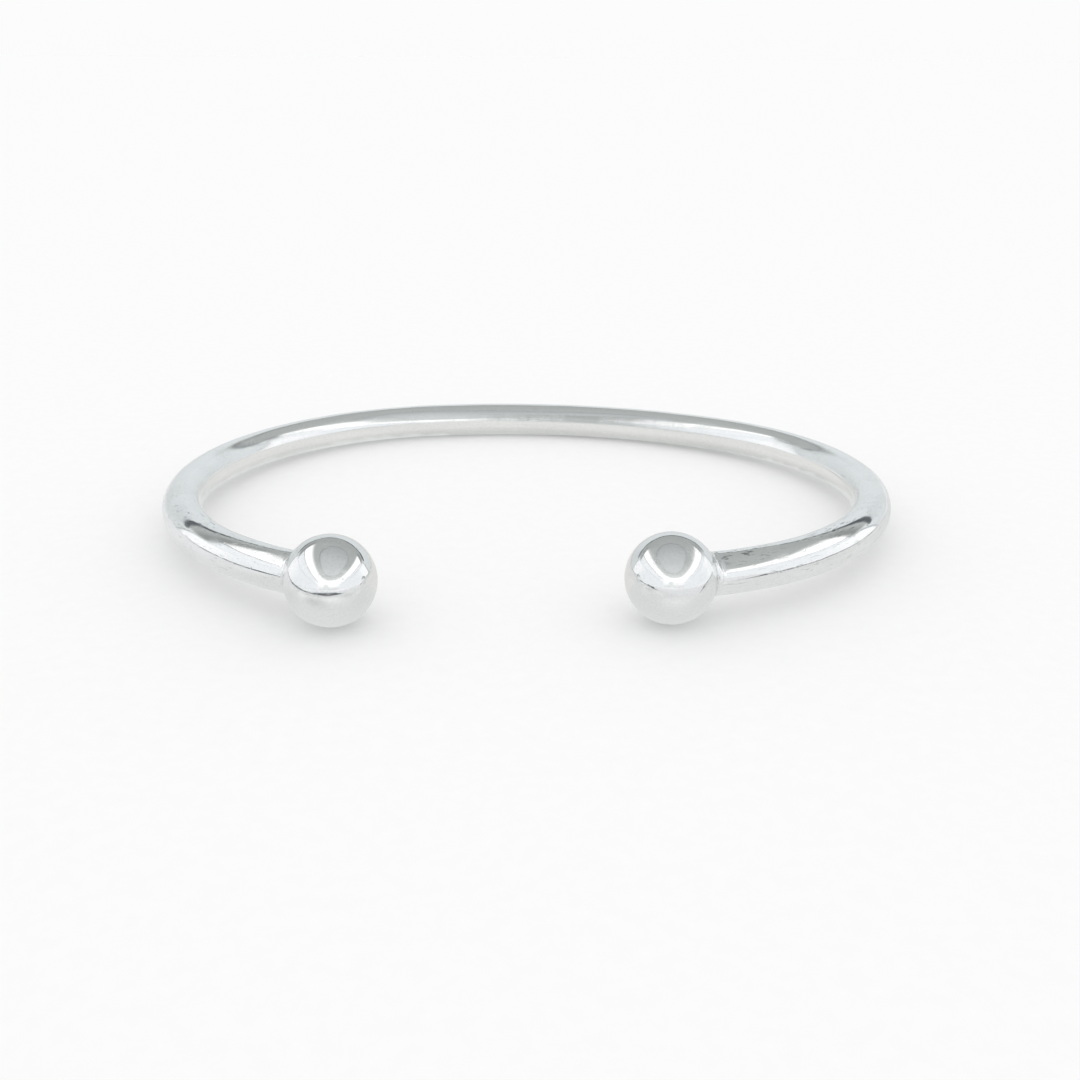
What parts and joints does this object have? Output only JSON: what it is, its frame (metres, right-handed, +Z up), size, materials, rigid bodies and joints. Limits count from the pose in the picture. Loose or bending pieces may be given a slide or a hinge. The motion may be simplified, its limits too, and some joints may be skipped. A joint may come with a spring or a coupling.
{
  "type": "torque bangle",
  "caption": "Open oval bangle of polished round silver wire with a plain ball soldered on each end.",
  "frame": {"origin": "on the surface it lies on, under the middle of its outline", "axes": "+Z up from the surface it lies on, -Y towards the gap between the balls, +X to the right seen from that gap"},
  "size_m": [0.0672, 0.0554, 0.0072],
  "materials": {
    "silver": "polished"
  },
  "bodies": {
    "root": {"bangle": "silver"}
  },
  "joints": []
}
